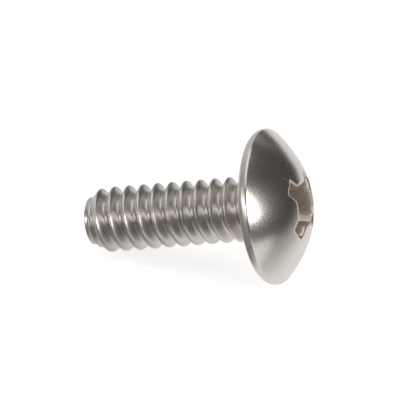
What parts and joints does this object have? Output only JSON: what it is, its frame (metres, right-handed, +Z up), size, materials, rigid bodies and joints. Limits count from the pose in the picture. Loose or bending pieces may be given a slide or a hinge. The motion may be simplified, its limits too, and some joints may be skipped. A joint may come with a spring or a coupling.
{
  "type": "truss head screw",
  "caption": "Machine screw with a wide low domed head, a cross recess and a right-hand thread along its whole short shank, lying on its side.",
  "frame": {"origin": "centre of the bearing face under the head, on the screw's own axis", "axes": "+Z up; +X is the way the head points as the screw lies on its side, and the screw's own axis runs from the point towards the head in the XZ plane, rising 14.25 degrees from +X"},
  "size_m": [0.012, 0.008, 0.0078],
  "materials": {
    "steel": "bright polished head, satin rolled thread"
  },
  "bodies": {
    "root": {"screw": "steel"}
  },
  "joints": []
}
